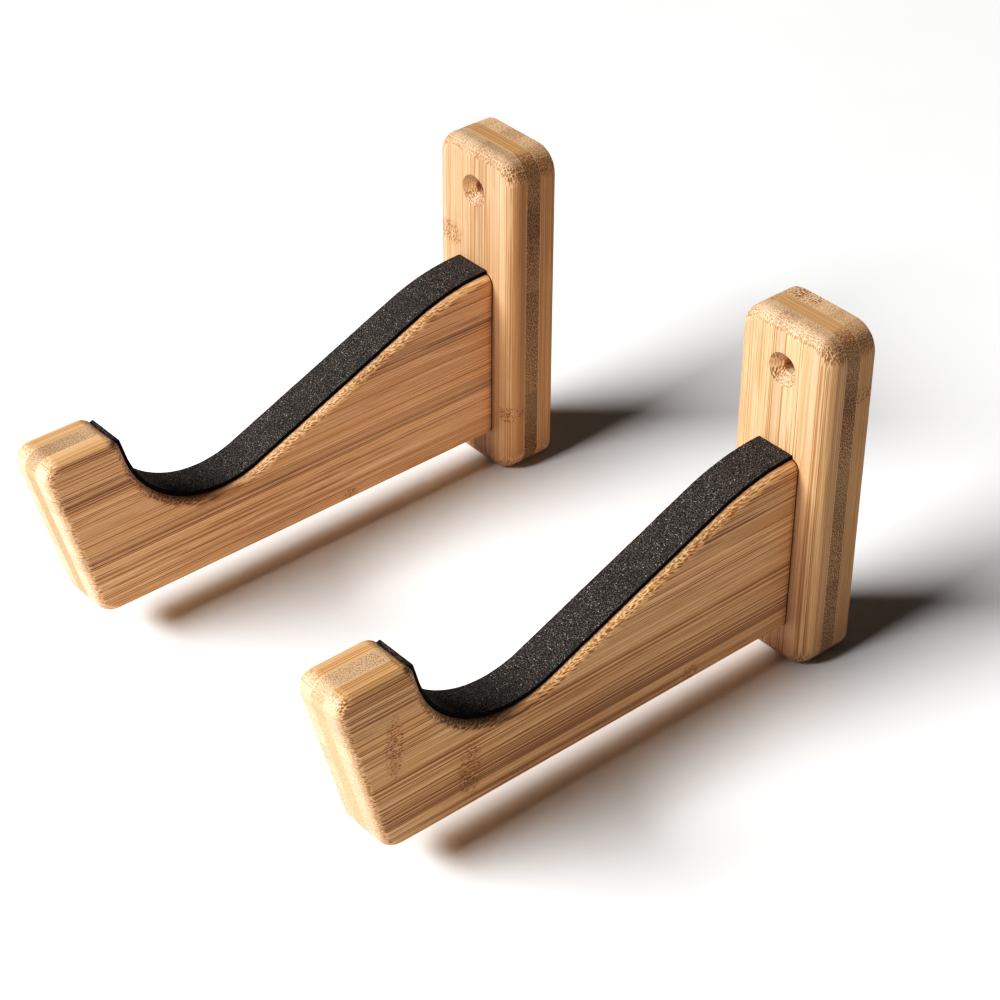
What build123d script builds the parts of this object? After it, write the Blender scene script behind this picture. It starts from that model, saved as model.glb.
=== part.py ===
from build123d import *
from math import cos, radians, sin, tan
import os

# A pair of wall brackets that hold one guitar on its side. Millimetres.
# X runs along the wall (+X to the right as seen from the room), Y = 0 is the wall and the
# arms reach towards -Y, Z is up. The origin is on the wall, half way between the two
# wall-screw holes. Each bracket is drawn about its own screw hole and then moved along X.

# Driving dimensions
bracket_spacing = 146.0
board_thickness = 20.0
outer_ply = 7.0

plate_width = 39.0
plate_height = 125.0
plate_corner_radius = 9.0
plate_front_rounding = 4.5
plate_back_easing = 0.8

hole_below_top = 16.5
wall_hole_diameter = 5.0
countersink_diameter = 11.6
countersink_angle = 90.0

arm_above_plate_foot = 14.3
arm_root_height = 64.7
arm_foot_length = 164.5
tip_height = 64.7
tip_lean = 15.0
tip_foot_radius = 8.0
tip_top_radius = 5.5
tip_inner_radius = 5.0
tip_wall_from_plate = 153.4
tip_wall_angle = 74.0
cradle_radius = 38.5
ramp_angle = 22.5
ramp_top_from_plate = 16.0
ramp_top_radius = 79.0
arm_edge_rounding = 3.0

pad_width = 14.8
pad_shift = -0.4
pad_thickness = 1.5
pad_end_heading = 58.0

screw_length = 50.0
screw_diameter = 4.0
screw_head_diameter = 8.0
screw_point_length = 5.0
screw_clearance = 0.25
screw_inset_from_arm_edge = 14.0
screw_head_angle = 90.0
recess_width = 4.4
recess_slot = 1.1
recess_depth = 2.0
through = 1.0

# Worked out from the driving dimensions
core_ply = board_thickness - 2 * outer_ply
plate_top = hole_below_top
plate_foot = plate_top - plate_height
plate_middle = (plate_top + plate_foot) / 2
plate_front = -board_thickness
arm_foot = plate_foot + arm_above_plate_foot
arm_root_top = arm_foot + arm_root_height
tip_top = arm_foot + tip_height
beyond_all = 3 * arm_foot_length


def facing_room(y):
    """A plane across the wall at depth y, with its own +Z pointing into the room."""
    return Plane(origin=(0, y, 0), x_dir=(1, 0, 0), z_dir=(0, -1, 0))


def slab(x_range, y_range):
    """A tall block that keeps one ply of a board."""
    size = (x_range[1] - x_range[0], y_range[1] - y_range[0], 4 * plate_height)
    middle = ((x_range[0] + x_range[1]) / 2, (y_range[0] + y_range[1]) / 2, 0)
    return Pos(*middle) * Box(*size)


def round_hole(diameter, y_near, y_far, z):
    """A straight bore along Y between two depths."""
    return facing_room(y_near) * Pos(0, z, 0) * extrude(Circle(diameter / 2), y_near - y_far)


def countersink(rim_diameter, neck_diameter, angle, y, z, towards_wall):
    """The cone under a countersunk head, with its rim at depth y."""
    depth = (rim_diameter - neck_diameter) / 2 / tan(radians(angle / 2))
    side = 1 if towards_wall else -1
    cone = Cone(neck_diameter / 2, rim_diameter / 2, depth)
    rotation = Rot(90, 0, 0) if towards_wall else Rot(-90, 0, 0)
    return Pos(0, y + side * depth / 2, z) * rotation * cone


def screw_heights():
    """The two arm screws sit the same distance in from the arm's top and bottom."""
    return (arm_root_top - screw_inset_from_arm_edge, arm_foot + screw_inset_from_arm_edge)


# The wall plate

def whole_plate():
    outline = RectangleRounded(plate_width, plate_height, plate_corner_radius)
    board = facing_room(0) * Pos(0, plate_middle, 0) * extrude(outline, board_thickness)
    front_edges = board.faces().sort_by(Axis.Y)[0].edges()
    board = fillet(front_edges, plate_front_rounding)
    back_edges = board.faces().sort_by(Axis.Y)[-1].edges()
    return chamfer(back_edges, plate_back_easing)


def plate_holes():
    cutters = [
        round_hole(wall_hole_diameter, through, plate_front - through, 0),
        countersink(countersink_diameter, wall_hole_diameter, countersink_angle, plate_front, 0, True),
    ]
    for z in screw_heights():
        clearance_diameter = screw_diameter + 2 * screw_clearance
        cutters.append(round_hole(clearance_diameter, through, plate_front - through, z))
        cutters.append(countersink(screw_head_diameter, screw_diameter, screw_head_angle, 0, z, False))
    return cutters


def plate_plies():
    board = whole_plate()
    for cutter in plate_holes():
        board -= cutter
    depths = {
        "plate_back_ply": (-outer_ply, through),
        "plate_core_ply": (-outer_ply - core_ply, -outer_ply),
        "plate_front_ply": (-board_thickness - through, -outer_ply - core_ply),
    }
    return {name: board & slab((-plate_width, plate_width), depth) for name, depth in depths.items()}


# The arm

def arm_corners():
    """Sharp corners of the arm's side outline as (y, z), before they are rounded."""
    tip_lean_shift = tip_height * tan(radians(tip_lean))
    ramp_top_y = plate_front - ramp_top_from_plate
    wall_top_y = plate_front - tip_wall_from_plate
    # The valley corner is where the ramp's line meets the line of the tip's inner wall.
    ramp_slope = tan(radians(ramp_angle))
    wall_slope = tan(radians(tip_wall_angle))
    fall = tip_top - arm_root_top
    valley_y = (ramp_slope * ramp_top_y + wall_slope * wall_top_y + fall) / (ramp_slope + wall_slope)
    valley_z = arm_root_top + ramp_slope * (valley_y - ramp_top_y)
    return [
        (plate_front, arm_foot),
        (plate_front - arm_foot_length, arm_foot),
        (plate_front - arm_foot_length - tip_lean_shift, tip_top),
        (wall_top_y, tip_top),
        (valley_y, valley_z),
        (ramp_top_y, arm_root_top),
        (plate_front, arm_root_top),
    ]


def arm_outline():
    radii = [tip_foot_radius, tip_top_radius, tip_inner_radius, cradle_radius, ramp_top_radius]
    corners = arm_corners()
    edge = FilletPolyline(*corners, radius=radii)
    closing = Line(corners[-1], corners[0])
    return make_face(edge + closing)


def across(sketch, width):
    """Spread a (y, z) sketch evenly to both sides of the bracket's middle."""
    side_plane = Plane(origin=(0, 0, 0), x_dir=(0, 1, 0), z_dir=(1, 0, 0))
    return side_plane * extrude(sketch, width / 2, both=True)


def whole_arm():
    arm = across(arm_outline(), board_thickness)
    side_faces = [arm.faces().sort_by(Axis.X)[i] for i in (0, -1)]
    joint_face = arm.faces().sort_by(Axis.Y)[-1]
    joint_edges = joint_face.edges()
    rims = [edge for face in side_faces for edge in face.edges() if edge not in joint_edges]
    return fillet(rims, arm_edge_rounding)


def arm_plies():
    arm = whole_arm()
    for z in screw_heights():
        arm -= arm_screw(z)
    half = board_thickness / 2
    widths = {
        "arm_left_ply": (-half - through, -core_ply / 2),
        "arm_core_ply": (-core_ply / 2, core_ply / 2),
        "arm_right_ply": (core_ply / 2, half + through),
    }
    depth = (-beyond_all, 0)
    return {name: arm & slab(width, depth) for name, width in widths.items()}


# The foam strip that lines the cradle

def pad_end_ray():
    """The centre of the tip's inner rounding, and the way that the strip's end face points."""
    wall_top = arm_corners()[3]
    setback = tip_inner_radius / tan(radians((180 - tip_wall_angle) / 2))
    centre = Vector(wall_top[0] - setback, tip_top - tip_inner_radius)
    outward = Vector(sin(radians(pad_end_heading)), cos(radians(pad_end_heading)))
    return centre, outward


def cradle_pad():
    """The strip, stuck on a little off the arm's middle so that it just laps over one rounded edge."""
    outline = arm_outline()
    skin = offset(outline, amount=pad_thickness) - outline
    centre, outward = pad_end_ray()
    beyond = centre + outward * plate_height
    low = arm_foot + arm_above_plate_foot / 2
    lined_stretch = Polyline(
        centre,
        beyond,
        (plate_front, plate_height),
        (plate_front, low),
        (centre.X, low),
        centre,
    )
    return Pos(pad_shift, 0, 0) * across(skin & make_face(lined_stretch), pad_width)


# The screws that hold the arm on the plate, driven from behind

def arm_screw(z):
    """A countersunk wood screw with its head flush with the back of the plate."""
    radius = screw_diameter / 2
    head_radius = screw_head_diameter / 2
    head_depth = (head_radius - radius) / tan(radians(screw_head_angle / 2))
    half_section = Polyline(
        (0, 0),
        (head_radius, 0),
        (radius, -head_depth),
        (radius, -screw_length + screw_point_length),
        (0, -screw_length),
        (0, 0),
    )
    screw = revolve(make_face(half_section), Axis.Y)
    for slot_size in ((recess_width, recess_slot), (recess_slot, recess_width)):
        screw -= facing_room(through) * extrude(Rectangle(*slot_size), recess_depth + through)
    return Pos(0, 0, z) * screw


def bracket():
    pieces = {}
    pieces.update(plate_plies())
    pieces.update(arm_plies())
    pieces["cradle_pad"] = cradle_pad()
    upper, lower = screw_heights()
    pieces["upper_arm_screw"] = arm_screw(upper)
    pieces["lower_arm_screw"] = arm_screw(lower)
    return pieces


os.makedirs("parts", exist_ok=True)
one_bracket = bracket()
for side, direction in (("left", -1), ("right", 1)):
    for name, piece in one_bracket.items():
        placed = Pos(direction * bracket_spacing / 2, 0, 0) * piece
        export_step(placed, f"parts/{side}_{name}.step")
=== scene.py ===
"""Looks of the wall guitar hanger: two laminated bamboo brackets with foam-lined cradles.

Metres, in the CAD frame: X along the wall, the wall at Y = 0, the arms towards -Y, Z up.
"""
import math
from collections import namedtuple

import bmesh
import bpy
from mathutils import Matrix, Vector, noise


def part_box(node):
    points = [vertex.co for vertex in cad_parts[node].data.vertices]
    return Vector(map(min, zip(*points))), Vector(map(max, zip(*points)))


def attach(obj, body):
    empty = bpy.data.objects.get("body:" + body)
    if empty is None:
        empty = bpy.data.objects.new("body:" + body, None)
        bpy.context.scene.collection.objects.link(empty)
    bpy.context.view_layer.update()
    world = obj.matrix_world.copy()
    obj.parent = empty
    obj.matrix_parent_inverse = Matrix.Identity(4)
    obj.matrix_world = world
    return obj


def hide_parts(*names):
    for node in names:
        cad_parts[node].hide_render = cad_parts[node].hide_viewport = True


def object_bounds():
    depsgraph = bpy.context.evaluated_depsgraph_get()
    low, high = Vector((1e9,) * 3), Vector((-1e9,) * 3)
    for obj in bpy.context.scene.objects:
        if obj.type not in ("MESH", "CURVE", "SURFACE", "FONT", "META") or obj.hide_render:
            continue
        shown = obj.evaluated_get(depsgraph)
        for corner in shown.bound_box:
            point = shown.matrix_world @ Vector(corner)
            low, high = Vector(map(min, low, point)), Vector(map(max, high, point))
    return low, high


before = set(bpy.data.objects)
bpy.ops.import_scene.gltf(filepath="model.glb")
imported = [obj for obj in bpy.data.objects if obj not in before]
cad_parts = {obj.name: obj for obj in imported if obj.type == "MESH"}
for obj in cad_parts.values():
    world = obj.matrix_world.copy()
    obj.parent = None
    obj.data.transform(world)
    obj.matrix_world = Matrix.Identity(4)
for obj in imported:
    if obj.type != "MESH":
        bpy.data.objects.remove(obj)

MM = 0.001
SIDES = ("left", "right")

cad_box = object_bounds()


# Node graphs

class Graph:
    """A material's node tree, built one node at a time. A value is a number or a node's output."""

    def __init__(self, name):
        self.material = bpy.data.materials.new(name)
        self.material.use_nodes = True
        self.tree = self.material.node_tree
        self.tree.nodes.clear()

    def add(self, kind, inputs=None, **settings):
        node = self.tree.nodes.new(kind)
        for name, value in settings.items():
            setattr(node, name, value)
        for key, value in (inputs or {}).items():
            self.feed(node.inputs[key], value)
        return node

    def feed(self, socket, value):
        if isinstance(value, bpy.types.NodeSocket):
            self.tree.links.new(value, socket)
        else:
            socket.default_value = value

    def math(self, operation, *values):
        node = self.add("ShaderNodeMath", operation=operation)
        for socket, value in zip(node.inputs, values):
            self.feed(socket, value)
        return node.outputs[0]

    def plus(self, first, *others):
        for other in others:
            first = self.math("ADD", first, other)
        return first

    def times(self, first, *others):
        for other in others:
            first = self.math("MULTIPLY", first, other)
        return first

    def minus(self, value, other):
        return self.math("SUBTRACT", value, other)

    def over(self, value, other):
        return self.math("DIVIDE", value, other)

    def span(self, value, low, high, to_low=0.0, to_high=1.0):
        """Goes smoothly from to_low at low to to_high at high, and holds outside them."""
        inputs = {"Value": value, "From Min": low, "From Max": high, "To Min": to_low, "To Max": to_high}
        return self.add("ShaderNodeMapRange", inputs, interpolation_type="SMOOTHSTEP").outputs["Result"]

    def vector(self, x, y, z=0.0):
        return self.add("ShaderNodeCombineXYZ", {0: x, 1: y, 2: z}).outputs[0]

    def parts(self, vector):
        return self.add("ShaderNodeSeparateXYZ", {0: vector}).outputs

    def colour_parts(self, colour):
        return self.add("ShaderNodeSeparateColor", {0: colour}).outputs

    def scaled(self, vector, factor):
        return self.add("ShaderNodeVectorMath", {0: vector, "Scale": factor}, operation="SCALE").outputs[0]

    def place(self):
        """Where the shaded point is, in metres."""
        return self.add("ShaderNodeTexCoord").outputs["Object"]

    def normal(self):
        return self.parts(self.add("ShaderNodeTexCoord").outputs["Normal"])

    def facing(self, axis):
        """1 on a face square to the axis, which is X, Y or Z, and 0 on one along it."""
        return self.math("ABSOLUTE", self.normal()["XYZ".index(axis)])

    def noise(self, vector, detail=2.0, roughness=0.5):
        inputs = {"Vector": vector, "Scale": 1.0, "Detail": detail, "Roughness": roughness}
        return self.add("ShaderNodeTexNoise", inputs).outputs["Fac"]

    def noise_parts(self, vector, detail):
        """Three noises at once."""
        inputs = {"Vector": vector, "Scale": 1.0, "Detail": detail}
        return self.parts(self.add("ShaderNodeTexNoise", inputs).outputs["Color"])

    def cells(self, vector, dimensions, randomness):
        """Distance to the nearest of a scatter of points, one to each unit cell, and that point's number."""
        inputs = {"Vector": vector, "Scale": 1.0, "Randomness": randomness}
        outputs = self.add("ShaderNodeTexVoronoi", inputs, voronoi_dimensions=dimensions).outputs
        return outputs["Distance"], self.colour_parts(outputs["Color"])[0]

    def mix(self, factor, a, b, blend="MIX"):
        node = self.add("ShaderNodeMix", data_type="RGBA", blend_type=blend)
        factor_input, a_input, b_input = node.inputs[0], node.inputs[6], node.inputs[7]
        self.feed(factor_input, factor)
        self.feed(a_input, a)
        self.feed(b_input, b)
        return node.outputs[2]

    def bump(self, height, depth, strength):
        inputs = {"Height": height, "Distance": depth, "Strength": strength}
        return self.add("ShaderNodeBump", inputs).outputs[0]

    def finish(self, **inputs):
        shader = self.add("ShaderNodeBsdfPrincipled", {k.replace("_", " "): v for k, v in inputs.items()})
        self.add("ShaderNodeOutputMaterial", {"Surface": shader.outputs[0]})
        return self.material


def rgb(red, green, blue):
    return (red, green, blue, 1.0)


# Bamboo

WHITE = rgb(1.0, 1.0, 1.0)
PALE = rgb(0.82, 0.545, 0.350)       # the soft tissue between the fibres
WARM = rgb(0.62, 0.350, 0.165)       # denser streaks along the grain
EDGE = rgb(0.72, 0.455, 0.250)       # the strips seen from their edges
CUT = rgb(0.75, 0.568, 0.415)        # the soft tissue cut across the grain
AMBER = rgb(0.50, 0.235, 0.070)      # thin or lightly coloured fibres
RUSSET = rgb(0.279, 0.114, 0.028)    # thin fibres where a slope cuts them
FIBRE = rgb(0.205, 0.073, 0.014)     # the darkest fibre bundles
KNUCKLE = rgb(0.190, 0.073, 0.020)   # dashes where the cane had a joint
ROSY = rgb(0.86, 0.76, 0.66)         # tints the patch round those dashes
DULL = rgb(1.0, 0.975, 0.945)        # tints some strips more than others
HONEY = rgb(1.0, 0.93, 0.72)         # tints the warmer plies
GLUE = rgb(0.80, 0.57, 0.34)         # thin pale line between two plies
GAP = rgb(0.020, 0.009, 0.004)       # the dark line where the arm butts the plate

# Cells of each noise in a millimetre: across the strips, through the ply and along the grain.
STRAY_CELLS = (0.07, 0.07, 0.024)
RIPPLE_CELLS = (0.55, 0.40, 0.50)
CROWD_CELLS = (0.045, 0.045, 0.006)
FINE_CELLS = (2.1, 1.3, 0.016)
BROAD_CELLS = (0.55, 0.55, 0.008)
FLECK_CELLS = (4.0, 4.0, 0.30)
DASH_CELLS = (2.3, 0.9, 0.85)
RAGGED_CELLS = 0.9
DRIFT_CELLS = 0.11

STRIP_DRIFT = 3.5              # mm of room for the joints between strips to stray from even places
FIRST_STRIP = 40.37            # the strips' count at the ply's middle; it sets where their joints fall
STRIP_SHIFT = 60.0             # mm of room for each strip's own shift of the pattern
LINE_WANDER = 0.56             # mm of room a bundle has to stray across the strip
DEPTH_WANDER = 0.8             # mm that it has through the ply, so that lines come and go
KNUCKLE_RIPPLE = 2.2           # mm that it has across the strip at a knuckle
HAIR_SPACING = 0.62            # spacing of the thin fibres, as a share of the bundles' spacing
BUNDLE_RADIUS = 0.35           # of a usual bundle on end grain, as a share of the spacing
LENGTHWISE_THINNING = 0.09     # how much less that is where bundles show as lines
DENSITY_RANGE = 0.05           # how much it varies from place to place, from strip to strip
SKIN_THICKENING = 0.04         # and from the cane's inner side to its skin
COARSE_SPREAD = 0.32           # share by which coarse strips' bundles are further apart
COARSE_THICKENING = 0.06       # and what their radius gains
HAIRLINE = (0.16, 0.04)        # mm from a joint between strips at which its line starts and is full
GLUE_LINE = (0.24, 0.08)       # the same from a ply's face, for the glue between plies
BUTT_SHADE = 2.6 * MM          # reach of the faint painted shade in the crease by the arm's butt joint
BUTT_GAP = (0.56 * MM, 0.34 * MM)    # from the plate, where that joint's dark line starts and is full
GRAIN_DEPTH = 0.06 * MM


class Bamboo:
    """The material of one ply: bamboo strips glued side by side, all with their grain one way.

    across, through and along are millimetres from the ply's middle: across its strips, through its
    thickness and along its grain. edge, face and end are 1 on surfaces square to those directions.
    """

    def __init__(self, name, axes, centre, thickness, seed, look):
        """axes are the letters of the three directions, such as ZXY."""
        graph = Graph(name)
        self.graph = graph
        self.look = look
        self.thickness = thickness
        self.seed = seed
        from_centre = graph.add("ShaderNodeVectorMath", {0: graph.place(), 1: centre}, operation="SUBTRACT")
        xyz = graph.parts(graph.scaled(from_centre.outputs[0], 1 / MM))
        self.across, self.through, self.along = (xyz["XYZ".index(axis)] for axis in axes)
        self.edge, self.face, self.end = (graph.facing(axis) for axis in axes)

    def material(self, knuckles=(), coarse_below=None, butt_y=None):
        """Builds it. knuckles are ovals (across, along, half width, half length).

        coarse_below marks off a few strips with thicker bundles: those further back across the ply than
        this. butt_y is the wall-side end of an arm's ply, in metres, where it meets the plate.
        """
        self.number_strips()
        self.place_knuckles(knuckles)
        self.stray()
        self.coarse = 0.0
        if coarse_below is not None:
            self.coarsen(coarse_below)
        self.scatter_fibres()
        self.make_streaks()
        colour = self.soft_tissue()
        colour = self.with_fibres(colour)
        colour = self.with_knuckles(colour)
        colour = self.with_tone(colour)
        colour = self.with_glue(colour)
        if butt_y is not None:
            colour = self.with_butt_joint(colour, butt_y)
        return self.surface(colour)

    def stretched(self, across, through, along, cells):
        """A vector for a noise with that many cells in a millimetre each way."""
        return self.graph.vector(*(self.graph.times(place, count)
                                   for place, count in zip((across, through, along), cells)))

    def number_strips(self):
        """Divides the ply into strips, each with its own tone, hue and shift of the pattern."""
        graph = self.graph
        drift = graph.noise(graph.vector(graph.times(self.across, DRIFT_CELLS), self.seed), 1.0)
        counted = graph.over(graph.plus(self.across, graph.times(drift, STRIP_DRIFT)), self.look.strip_width)
        counted = graph.plus(counted, FIRST_STRIP + self.seed)
        inside = graph.math("FRACT", counted)
        number = graph.plus(graph.math("FLOOR", counted), self.seed * 3.1)
        own = graph.add("ShaderNodeTexWhiteNoise", {"W": number}, noise_dimensions="1D")
        self.own_tone, self.own_shift, self.own_hue = graph.colour_parts(own.outputs["Color"])
        skin_side = graph.math("ROUND", own.outputs["Value"])
        self.from_skin = graph.math("ABSOLUTE", graph.minus(skin_side, inside))
        share = graph.math("MINIMUM", inside, graph.minus(1.0, inside))
        self.hairline = graph.span(graph.times(share, self.look.strip_width), *HAIRLINE)

    def place_knuckles(self, knuckles):
        """knuckle is 1 inside the ragged ovals where the cane had a joint."""
        self.knuckle = 0.0
        for oval in knuckles:
            self.knuckle = self.graph.math("MAXIMUM", self.knuckle, self.knuckle_oval(*oval))

    def knuckle_oval(self, at_across, at_along, half_across, half_along):
        graph = self.graph
        ragged = graph.noise(graph.vector(graph.times(self.across, RAGGED_CELLS),
                                          graph.times(self.along, RAGGED_CELLS)), 3.0)
        a = graph.over(graph.plus(self.across, -at_across), half_across)
        b = graph.over(graph.plus(self.along, -at_along), half_along)
        radius = graph.math("SQRT", graph.plus(graph.times(a, a), graph.times(b, b)))
        return graph.span(graph.plus(radius, graph.times(ragged, 0.9)), 1.45, 1.0)

    def stray(self):
        """The grain strays a little on its way, and waves about at a knuckle."""
        graph = self.graph
        stray = graph.noise_parts(self.stretched(self.across, self.through, self.along, STRAY_CELLS), 2.0)
        ripple = graph.noise(self.stretched(self.across, self.through, self.along, RIPPLE_CELLS))
        ripple = graph.times(graph.plus(ripple, -0.5), self.knuckle, KNUCKLE_RIPPLE)
        wander = graph.times(graph.plus(stray[0], -0.5), LINE_WANDER)
        self.across_here = graph.plus(self.across, wander, ripple)
        wander = graph.times(graph.plus(stray[1], -0.5), DEPTH_WANDER)
        self.through_here = graph.plus(self.through, wander, graph.times(self.own_shift, STRIP_SHIFT))
        crowd = graph.noise(self.stretched(self.across, self.through, self.along, CROWD_CELLS), 1.0)
        full = self.look.fullness
        self.density = graph.plus(graph.span(crowd, 0.32, 0.68, full - DENSITY_RANGE, full + DENSITY_RANGE),
                                  graph.times(graph.plus(self.own_hue, -0.5), 2 * DENSITY_RANGE))

    def coarsen(self, limit):
        """Spreads and thickens the bundles of the strips further back than the limit."""
        graph = self.graph
        self.coarse = graph.math("LESS_THAN", self.across, limit)
        spread = graph.minus(1.0, graph.times(self.coarse, COARSE_SPREAD))
        self.across_here = graph.times(self.across_here, spread)
        self.through_here = graph.times(self.through_here, spread)
        self.density = graph.plus(self.density, graph.times(self.coarse, COARSE_THICKENING))

    def scatter_fibres(self):
        """Fibre bundles are dots across the grain, drawn out into long lines along it.

        They crowd towards the side of the strip that was the cane's skin, and some strips hold far more
        of them than others. Hairs are thinner fibres between them.
        """
        graph = self.graph
        distance, own_dark = self.scatter(self.look.spacing, 0.62)
        thinning = graph.times(graph.span(self.end, 0.30, 0.10), LENGTHWISE_THINNING)
        crowding = graph.span(self.from_skin, 0.0, 1.0, SKIN_THICKENING, -SKIN_THICKENING)
        radius = graph.minus(graph.plus(crowding, self.density, BUNDLE_RADIUS), thinning)
        bundle = graph.span(graph.minus(distance, radius), 0.03, -0.05)
        self.bundle = graph.times(bundle, graph.span(own_dark, 0.0, 1.0, 0.66, 1.0))
        hair_distance, _ = self.scatter(self.look.spacing * HAIR_SPACING, 0.9)
        self.hair = graph.span(hair_distance, 0.38, 0.22)

    def scatter(self, spacing, randomness):
        graph = self.graph
        place = graph.vector(graph.over(self.across_here, spacing), graph.over(self.through_here, spacing))
        return graph.cells(place, "2D", randomness)

    def make_streaks(self):
        """Streaks at three scales, all long along the grain."""
        graph = self.graph
        here = (self.across_here, self.through_here, self.along)
        self.fine = graph.noise(self.stretched(*here, FINE_CELLS), 3.0, 0.66)
        broad = graph.noise(self.stretched(*here, BROAD_CELLS), 2.0, 0.55)
        self.flecks = graph.noise(self.stretched(*here, FLECK_CELLS), 2.0, 0.6)
        self.streak = graph.plus(graph.times(graph.span(self.fine, 0.45, 0.55), 0.72),
                                 graph.times(graph.span(broad, 0.38, 0.62), 0.28))

    def soft_tissue(self):
        graph = self.graph
        colour = graph.mix(graph.times(self.streak, 0.40 + 0.50 * self.look.lines), PALE, WARM)
        colour = graph.mix(graph.times(self.edge, 0.75), colour, EDGE)
        return graph.mix(graph.times(self.end, 0.75), colour, CUT)

    def with_fibres(self, colour):
        """Fibres show most where a surface slopes up across them, as the ramp and the rounded tops do."""
        graph, lines = self.graph, self.look.lines
        sloping = graph.times(graph.span(self.end, 0.10, 0.28), graph.span(self.end, 0.95, 0.65),
                              graph.span(graph.normal()[2], 0.05, 0.35),
                              graph.span(graph.facing("X"), 0.1, 0.45, 0.5, 1.0))
        strength = graph.math("MAXIMUM", graph.span(self.end, 0.15, 0.85, lines, self.look.dots), sloping)
        strength = graph.times(strength, graph.span(self.edge, 0.6, 1.0, 1.0, 0.4))
        strength = graph.math("MAXIMUM", strength, graph.times(self.coarse, self.end, 0.95))
        cover = graph.times(self.bundle, graph.span(strength, 0.0, 1.0, 0.45, 0.95))
        colour = graph.mix(cover, colour, graph.mix(strength, AMBER, FIBRE))
        cover = graph.times(self.hair, graph.span(self.fine, 0.62, 0.42, 0.0, 0.40 + 0.35 * lines))
        colour = graph.mix(cover, colour, AMBER)
        colour = graph.mix(graph.times(self.hair, sloping, 0.85), colour, RUSSET)
        return graph.mix(graph.times(graph.span(self.flecks, 0.60, 0.72), 0.45 * lines), colour, AMBER)

    def with_knuckles(self, colour):
        """A slightly rosier patch with short dark dashes."""
        graph = self.graph
        place = self.stretched(self.across_here, self.through, self.along, DASH_CELLS)
        distance, _ = graph.cells(place, "3D", 1.0)
        self.dash = graph.times(graph.span(distance, 0.40, 0.26), self.knuckle)
        colour = graph.mix(graph.times(self.knuckle, 0.45), colour, ROSY, "MULTIPLY")
        return graph.mix(graph.times(self.dash, 0.92), colour, KNUCKLE)

    def with_tone(self, colour):
        """Strips differ in tone and hue, and plies in warmth; on the arms the edges' tone also holds painted
        shade on their tops.
        """
        graph, look = self.graph, self.look
        edge = graph.span(self.edge, 0.5, 1.0)
        value = graph.span(self.own_tone, 0.0, 1.0, 0.84 * look.tone, 1.03 * look.tone)
        # on the arms' side plies the edges' darker tone is partly painted shade on the arms' tops
        value = graph.times(value, graph.span(edge, 0.0, 1.0, 1.0, look.edge_tone))
        warmth = graph.times(graph.span(edge, 0.0, 1.0, look.warmth, look.edge_warmth),
                             graph.span(self.end, 0.2, 0.9, 1.0, look.end_warmth))
        tint = graph.mix(warmth, graph.mix(self.own_hue, DULL, WHITE), HONEY, "MULTIPLY")
        tint = graph.mix(1.0, tint, graph.vector(value, value, value), "MULTIPLY")
        return graph.mix(1.0, colour, tint, "MULTIPLY")

    def with_glue(self, colour):
        """The glue joints show as dark hairlines between strips and pale ones between plies."""
        graph = self.graph
        colour = graph.mix(graph.times(self.hairline, 0.80 * self.look.lines), colour, AMBER)
        start, full = (self.thickness / 2 - distance for distance in GLUE_LINE)
        glue = graph.span(graph.math("ABSOLUTE", self.through), start, full)
        glue = graph.times(glue, graph.span(self.face, 0.5, 0.1))
        return graph.mix(graph.times(glue, 0.35), colour, GLUE)

    def with_butt_joint(self, colour, butt_y):
        graph = self.graph
        from_plate = graph.minus(butt_y, graph.parts(graph.place())[1])
        # painted shade: the arm darkens towards the plate in the crease where it butts it
        colour = graph.mix(graph.span(from_plate, BUTT_SHADE, 0.2 * MM, 0.0, 0.30), colour, FIBRE)
        return graph.mix(graph.times(graph.span(from_plate, *BUTT_GAP), 0.92), colour, GAP)

    def surface(self, colour):
        """Satin oil: a little rougher on end grain and in the bundles."""
        graph = self.graph
        roughness = graph.plus(graph.times(self.end, 0.16), graph.span(self.fine, 0.3, 0.7, 0.42, 0.52),
                               graph.times(self.bundle, 0.06))
        height = graph.minus(graph.times(self.fine, 0.45), graph.times(self.bundle, 0.8))
        height = graph.minus(height, graph.math("MAXIMUM", self.dash, self.hairline))
        height = graph.minus(height, graph.times(self.hair, 0.3))
        height = graph.plus(height, graph.times(self.flecks, 0.25))
        return graph.finish(Base_Color=colour, Roughness=roughness,
                            Normal=graph.bump(height, GRAIN_DEPTH, 0.9),
                            Specular_IOR_Level=0.26, Coat_Weight=0.04, Coat_Roughness=0.35)


# How a ply looks: the width of its strips and the spacing of its fibre bundles in millimetres, its tone
# and warmth, the same for its strips' edges (on the arms' side plies partly painted shade on the arms'
# tops), the share of the warmth left on end grain, how strongly fibres show along the grain and on
# square-cut end grain, and how much thicker than usual they are.
Look = namedtuple("Look", "strip_width spacing tone edge_tone warmth edge_warmth end_warmth "
                          "lines dots fullness")

PLATE_BACK = Look(strip_width=6.8, spacing=0.62, tone=0.90, edge_tone=0.86, warmth=0.9, edge_warmth=0.7,
                  end_warmth=0.2, lines=0.75, dots=0.50, fullness=0.02)
PLATE_CORE = Look(strip_width=21.0, spacing=0.55, tone=0.77, edge_tone=0.98, warmth=1.0, edge_warmth=0.1,
                  end_warmth=1.0, lines=0.35, dots=1.00, fullness=0.11)
PLATE_FRONT = Look(strip_width=6.4, spacing=0.66, tone=0.85, edge_tone=1.22, warmth=0.0, edge_warmth=0.3,
                   end_warmth=0.2, lines=0.55, dots=0.55, fullness=0.01)
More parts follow.
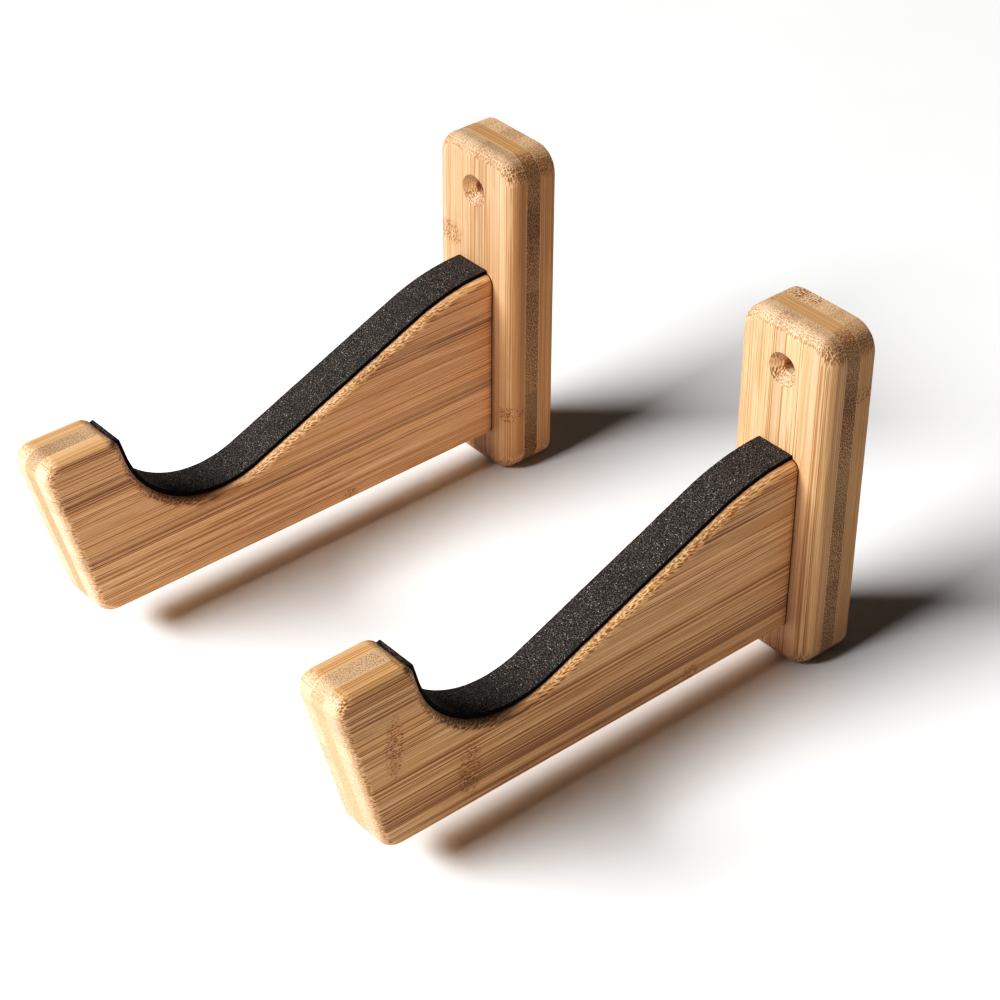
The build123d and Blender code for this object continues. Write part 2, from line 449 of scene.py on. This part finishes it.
# The arms are toned down partly as painted shade: ARM_SIDE's edge tone darkens the tops of the side plies,
# and ARM_CORE's tone the core's top at the tip.
ARM_SIDE = Look(strip_width=6.2, spacing=0.76, tone=1.15, edge_tone=0.80, warmth=0.5, edge_warmth=0.0,
                end_warmth=0.2, lines=0.85, dots=0.22, fullness=0.02)
ARM_CORE = Look(strip_width=21.0, spacing=0.50, tone=0.87, edge_tone=1.02, warmth=0.2, edge_warmth=0.2,
                end_warmth=1.0, lines=0.30, dots=0.60, fullness=0.03)

# Each ply's axes across, through and along it, and its look.
PLIES = {
    "plate_back_ply": ("XYZ", PLATE_BACK),
    "plate_core_ply": ("ZYX", PLATE_CORE),
    "plate_front_ply": ("XYZ", PLATE_FRONT),
    "arm_left_ply": ("ZXY", ARM_SIDE),
    "arm_core_ply": ("YXZ", ARM_CORE),
    "arm_right_ply": ("ZXY", ARM_SIDE),
}

# Single pieces that came from a lighter or darker cane than the rest of their kind.
OWN_LOOKS = {
    "left_plate_back_ply": PLATE_BACK._replace(edge_tone=1.15),
    "left_plate_front_ply": PLATE_FRONT._replace(tone=0.75),
    "left_arm_left_ply": ARM_SIDE._replace(tone=1.20, warmth=0.1, fullness=-0.02),
    "left_arm_right_ply": ARM_SIDE._replace(tone=1.20, warmth=0.1, fullness=-0.02),
}

# Plies with a few coarse strips, and where those end, in millimetres from the ply's middle.
COARSE_BELOW = {"right_plate_back_ply": -1.8}

# Where the cane's joints show on each ply: (across, along, half width, half length) in millimetres
# from the ply's own middle.
KNUCKLES = {
    "left_plate_front_ply": ((-12.5, 25.0, 7.5, 5.5), (17.0, -37.0, 4.0, 4.0)),
    "right_plate_back_ply": ((17.0, 40.0, 5.0, 4.5),),
    "right_arm_right_ply": ((6.5, -71.0, 14.0, 4.2), (-17.0, -43.0, 13.0, 5.2), (-28.0, 47.0, 3.5, 4.0)),
    "left_arm_right_ply": ((-29.5, 26.0, 3.0, 4.0),),
    "left_arm_left_ply": ((5.0, 12.0, 11.0, 5.0),),
    "right_plate_front_ply": ((-14.0, -30.0, 5.0, 4.5),),
}


def dress(node, material):
    """Puts one material on a CAD node."""
    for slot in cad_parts[node].material_slots:
        slot.material = material


for side_number, side in enumerate(SIDES):
    for ply_number, (ply, (axes, look)) in enumerate(PLIES.items()):
        node = f"{side}_{ply}"
        low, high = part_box(node)
        thickness = (high - low)["XYZ".index(axes[1])] / MM
        seed = 1.7 + 2.3 * ply_number + 17.9 * side_number
        bamboo = Bamboo(f"bamboo_{node}", axes, (low + high) / 2, thickness, seed, OWN_LOOKS.get(node, look))
        butt_y = high.y if ply.startswith("arm") else None
        dress(node, bamboo.material(KNUCKLES.get(node, ()), COARSE_BELOW.get(node), butt_y))


# Screws

ZINC = rgb(0.60, 0.60, 0.58)
DULL_ZINC = rgb(0.42, 0.415, 0.40)
TURNING_DEPTH = 0.01 * MM


def steel():
    """Zinc-plated screw steel with fine turning marks round the screw's axis, which lies along Y."""
    graph = Graph("zinc_screw_steel")
    x, y, z = graph.parts(graph.scaled(graph.place(), 1 / MM))
    turned = graph.noise(graph.vector(graph.times(x, 0.4), graph.times(y, 9.0), graph.times(z, 0.4)), 3.0)
    cloud = graph.noise(graph.vector(x, y, z), 3.0, 0.6)
    colour = graph.mix(graph.span(cloud, 0.35, 0.7), ZINC, DULL_ZINC)
    roughness = graph.plus(graph.span(cloud, 0.3, 0.7, 0.24, 0.40), graph.times(turned, 0.12))
    return graph.finish(Base_Color=colour, Metallic=1.0, Roughness=roughness,
                        Normal=graph.bump(turned, TURNING_DEPTH, 0.6))


screw_metal = steel()
for side in SIDES:
    for screw in ("upper_arm_screw", "lower_arm_screw"):
        dress(f"{side}_{screw}", screw_metal)


# Foam pads

FOAM_PIT_SHADE = rgb(0.0060, 0.0046, 0.0038)     # the bottoms of the cells, in painted shade
FOAM_RIM_LIGHT = rgb(0.215, 0.186, 0.164)        # their rims, in painted light
FOAM_DULL = rgb(0.020, 0.0165, 0.0145)     # broad dull patches
FOAM_GLINT = rgb(0.62, 0.57, 0.52)         # painted glints on the few cells that catch the light
FOAM_SIDE = rgb(0.0045, 0.0038, 0.0034)    # the cut sides
FOAM_DEPTH = 0.10 * MM

PAD_STEP = 0.5 * MM            # length of a mesh cell along the pad
PAD_REACH = 4                  # steps each way over which its direction is taken
PAD_EDGE_RADIUS = 0.30 * MM    # the cut edge's small rounding
PAD_CORNER_STEPS = 3
PAD_SKIN_ROUGHNESS = 0.05 * MM
PAD_EDGE_WAVE = 0.16 * MM      # how far the cut edge strays inwards
PAD_DROOP_LENGTH = 0.36 * MM   # how far from its ends the pad's top begins to round over
PAD_DROOP = 0.15 * MM
CORNER_TURN = math.radians(40)


def foam():
    """Black closed-cell foam: fine open cells in a matt skin, painted with shade in their bottoms, light on
    their rims and glints on a few cells.
    """
    graph = Graph("foam_pad_black")
    place = graph.scaled(graph.place(), 1 / MM)
    distance, lucky = graph.cells(graph.scaled(place, 2.1), "3D", 1.0)
    grain = graph.noise(graph.scaled(place, 2.6), 3.0, 0.75)
    patch = graph.noise(graph.scaled(place, 0.16))
    # painted shade in the cells' bottoms and painted light on their rims
    colour = graph.mix(graph.span(grain, 0.46, 0.68), FOAM_PIT_SHADE, FOAM_RIM_LIGHT)
    colour = graph.mix(graph.span(patch, 0.3, 0.7, 0.0, 0.35), colour, FOAM_DULL)
    # painted glints on a few cells
    glint = graph.times(graph.span(lucky, 0.90, 1.00), graph.span(distance, 0.40, 0.20))
    colour = graph.mix(graph.times(glint, 0.90), colour, FOAM_GLINT)
    colour = graph.mix(graph.span(graph.facing("X"), 0.35, 0.85), colour, FOAM_SIDE)
    height = graph.plus(graph.times(distance, 0.5), graph.times(grain, 0.7))
    return graph.finish(Base_Color=colour, Roughness=graph.span(grain, 0.3, 0.7, 0.92, 0.70),
                        Normal=graph.bump(height, FOAM_DEPTH, 0.8), Specular_IOR_Level=0.22)


def side_loop(node):
    """The outline of a CAD pad seen along X, as an ordered loop of (y, z) points."""
    mesh = bmesh.new()
    mesh.from_mesh(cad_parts[node].data)
    bmesh.ops.remove_doubles(mesh, verts=mesh.verts, dist=0.001 * MM)
    side = {face for face in mesh.faces if face.normal.x < -0.9}
    rim = {}
    for edge in mesh.edges:
        if sum(face in side for face in edge.link_faces) == 1:
            for vertex in edge.verts:
                rim.setdefault(vertex, []).append(edge.other_vert(vertex))
    start = next(iter(rim))
    loop = [start]
    previous, here = None, start
    while True:
        onward = next(vertex for vertex in rim[here] if vertex is not previous)
        if onward is start:
            break
        loop.append(onward)
        previous, here = here, onward
    points = [Vector((vertex.co.y, vertex.co.z)) for vertex in loop]
    mesh.free()
    return points


def length(chain):
    return sum((b - a).length for a, b in zip(chain, chain[1:]))


def mean_height(chain):
    return sum(point.y for point in chain) / len(chain)


def longest_sides(loop):
    """The loop's two long sides, cut at its four square corners, each as a list of points."""
    count = len(loop)
    corners = []
    for i in range(count):
        before = (loop[i] - loop[i - 1]).normalized()
        after = (loop[(i + 1) % count] - loop[i]).normalized()
        if before.dot(after) < math.cos(CORNER_TURN):
            corners.append(i)
    chains = []
    for first, last in zip(corners, corners[1:] + [corners[0] + count]):
        chains.append([loop[i % count] for i in range(first, last + 1)])
    return sorted(chains, key=length)[-2:]


def resampled(chain, step):
    """Points at even steps along a chain of straight runs."""
    lengths = [0.0]
    for a, b in zip(chain, chain[1:]):
        lengths.append(lengths[-1] + (b - a).length)
    count = max(2, round(lengths[-1] / step))
    points = []
    run = 0
    for i in range(count + 1):
        target = lengths[-1] * i / count
        while run < len(chain) - 2 and lengths[run + 1] < target:
            run += 1
        share = (target - lengths[run]) / (lengths[run + 1] - lengths[run])
        points.append(chain[run].lerp(chain[run + 1], min(1.0, share)))
    return points


def pad_line(node):
    """The pad's underside as even (y, z) points from its tip end to its wall end, and its thickness."""
    under, top = sorted(longest_sides(side_loop(node)), key=mean_height)
    if under[0].x > under[-1].x:
        under.reverse()
    line = resampled(under, PAD_STEP)
    middle = line[len(line) // 2]
    thickness = min((middle - point).length for point in resampled(top, PAD_STEP))
    return line, thickness


def pad_section(width, thickness):
    """Points (across, up) round the pad's cross-section, with small rounded upper edges."""
    inner = width / 2 - PAD_EDGE_RADIUS
    right = [(width / 2, thickness * share) for share in (0.0, 0.25, 0.5)]
    for i in range(PAD_CORNER_STEPS + 1):
        angle = math.pi / 2 * i / PAD_CORNER_STEPS
        right.append((inner + PAD_EDGE_RADIUS * math.cos(angle),
                      thickness - PAD_EDGE_RADIUS * (1 - math.sin(angle))))
    count = round(2 * inner / PAD_STEP)
    top = [(inner - 2 * inner * i / count, thickness) for i in range(1, count)]
    left = [(-x, z) for x, z in reversed(right)]
    return right + top + left


def pad_ring(centre_x, width, thickness, under, up, end_gap):
    """Places round the pad above one point of its underside, with a wavy cut and a slightly rough top."""
    droop = max(0.0, 1.0 - end_gap / PAD_DROOP_LENGTH) * PAD_DROOP
    ring = []
    for across, height in pad_section(width, thickness):
        place = Vector((centre_x + across, under.x, under.y)) / MM
        wave = noise.noise(Vector((math.copysign(9.0, across), place.y * 0.22, place.z * 0.22)))
        nick = noise.noise(Vector((math.copysign(31.0, across), place.y * 1.1, place.z * 1.1)))
        trim = 1.0 - PAD_EDGE_WAVE * (0.7 + 0.45 * wave + 0.25 * nick) / width * 2
        if height > 0.6 * thickness:
            skin = noise.fractal(place * 1.3 + Vector((0, 0, height / MM * 1.3)), 1.0, 2.0, 3)
            swell = noise.noise(place * 0.12)
            height -= PAD_SKIN_ROUGHNESS * (1.0 + 0.8 * skin + 0.9 * swell) + droop
        yz = under + up * height
        ring.append(Vector((centre_x + across * trim, yz.x, yz.y)))
    return ring


def tube(mesh, rings):
    """Closes rings of vertices into a smooth solid with flat ends."""
    for ring, following in zip(rings, rings[1:]):
        for i in range(len(ring)):
            j = (i + 1) % len(ring)
            mesh.faces.new((ring[i], ring[j], following[j], following[i]))
    mesh.faces.new(rings[0][::-1])
    mesh.faces.new(rings[-1])
    bmesh.ops.recalc_face_normals(mesh, faces=mesh.faces)
    for face in mesh.faces:
        face.smooth = True


def foam_pad(node, material):
    """A strip of foam laid in the arm's cradle, where the CAD pad lies."""
    low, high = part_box(node)
    line, thickness = pad_line(node)
    last = len(line) - 1
    mesh = bmesh.new()
    rings = []
    for i, point in enumerate(line):
        ahead = line[min(i + PAD_REACH, last)] - line[max(i - PAD_REACH, 0)]
        up = Vector((-ahead.y, ahead.x)).normalized()
        end_gap = min(i, last - i) * PAD_STEP
        ring = pad_ring((low.x + high.x) / 2, high.x - low.x, thickness, point, up, end_gap)
        rings.append([mesh.verts.new(place) for place in ring])
    tube(mesh, rings)
    data = bpy.data.meshes.new(f"{node}_foam")
    mesh.to_mesh(data)
    mesh.free()
    data.materials.append(material)
    pad = bpy.data.objects.new(f"{node}_foam", data)
    bpy.context.scene.collection.objects.link(pad)
    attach(pad, "root")
    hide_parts(node)


black_foam = foam()
for side in SIDES:
    foam_pad(f"{side}_cradle_pad", black_foam)


# Floor, light and camera

FLOOR_HALF = 4.0                      # metres
FLOOR_WHITE = rgb(0.93, 0.925, 0.92)
FLOOR_HAZE = rgb(0.90, 0.895, 0.89)
ROOM_COLOUR = rgb(1.0, 0.96, 0.97)
SENSOR_WIDTH = 36.0                   # mm

# The tone curve: scene brightness and what it is shown as, both linear.
TONES = ((0.0, 0.0), (0.010, 0.0035), (0.021, 0.011), (0.080, 0.050), (0.188, 0.157), (0.305, 0.300),
         (0.515, 0.555), (0.780, 0.860), (0.940, 1.0))


def floor():
    """A plain white tabletop under the plates' feet."""
    graph = Graph("white_tabletop")
    haze = graph.noise(graph.scaled(graph.place(), 9.0), 3.0)
    colour = graph.mix(graph.span(haze, 0.3, 0.7), FLOOR_WHITE, FLOOR_HAZE)
    material = graph.finish(Base_Color=colour, Roughness=0.85, Specular_IOR_Level=0.1)
    data = bpy.data.meshes.new("tabletop")
    corners = [(-FLOOR_HALF, -FLOOR_HALF), (FLOOR_HALF, -FLOOR_HALF), (FLOOR_HALF, FLOOR_HALF),
               (-FLOOR_HALF, FLOOR_HALF)]
    data.from_pydata([(x, y, cad_box[0].z) for x, y in corners], [], [(0, 1, 2, 3)])
    data.materials.append(material)
    top = bpy.data.objects.new("tabletop", data)
    bpy.context.scene.collection.objects.link(top)


def softbox(heading, height_angle, distance, width, height, power, target):
    """One large soft light. heading is the way its light travels, in degrees from +X towards +Y."""
    turn, rise = math.radians(heading), math.radians(height_angle)
    travel = Vector((math.cos(turn) * math.cos(rise), math.sin(turn) * math.cos(rise), -math.sin(rise)))
    data = bpy.data.lights.new("softbox", "AREA")
    data.shape = "RECTANGLE"
    data.size = width
    data.size_y = height
    data.energy = power
    light = bpy.data.objects.new("softbox", data)
    light.location = target - travel * distance
    light.rotation_euler = travel.to_track_quat("-Z", "Y").to_euler()
    bpy.context.scene.collection.objects.link(light)


def camera(azimuth, elevation, roll, place, focal_length):
    """A camera at place. azimuth 0 looks along +Y; the angles are in degrees, the focal length in mm."""
    a, e, r = (math.radians(angle) for angle in (azimuth, elevation, roll))
    back = Vector((math.sin(a) * math.cos(e), -math.cos(a) * math.cos(e), math.sin(e)))
    right = Vector((math.cos(a), math.sin(a), 0.0))
    up = back.cross(right)
    turned_right = right * math.cos(r) + up * math.sin(r)
    turned_up = up * math.cos(r) - right * math.sin(r)
    turn = Matrix((turned_right, turned_up, back)).transposed()
    data = bpy.data.cameras.new("camera")
    data.sensor_width = SENSOR_WIDTH
    data.lens = focal_length
    data.clip_start, data.clip_end = 0.01, 50.0
    eye = bpy.data.objects.new("camera", data)
    eye.matrix_world = Matrix.Translation(place) @ turn.to_4x4()
    bpy.context.scene.collection.objects.link(eye)
    bpy.context.scene.camera = eye


def room_light(strength):
    """Faint even light from all round."""
    world = bpy.data.worlds.new("room")
    world.use_nodes = True
    background = world.node_tree.nodes["Background"]
    background.inputs["Color"].default_value = ROOM_COLOUR
    background.inputs["Strength"].default_value = strength
    bpy.context.scene.world = world


def develop():
    """A plain display transform with a little more contrast."""
    settings = bpy.context.scene.view_settings
    settings.view_transform = "Standard"
    settings.use_curve_mapping = True
    mapping = settings.curve_mapping
    curve = mapping.curves[3]
    curve.points[0].location = TONES[0]
    curve.points[1].location = TONES[-1]
    for tone in TONES[1:-1]:
        curve.points.new(*tone)
    mapping.update()


floor()
softbox(heading=70, height_angle=38, distance=5.0, width=3.3, height=1.4, power=500,
        target=Vector((0.0, -0.08, -0.06)))
room_light(0.028)
camera(azimuth=49.182, elevation=35.644, roll=0.330, place=Vector((0.5373, -0.53456, 0.44368)),
       focal_length=96.507)
develop()
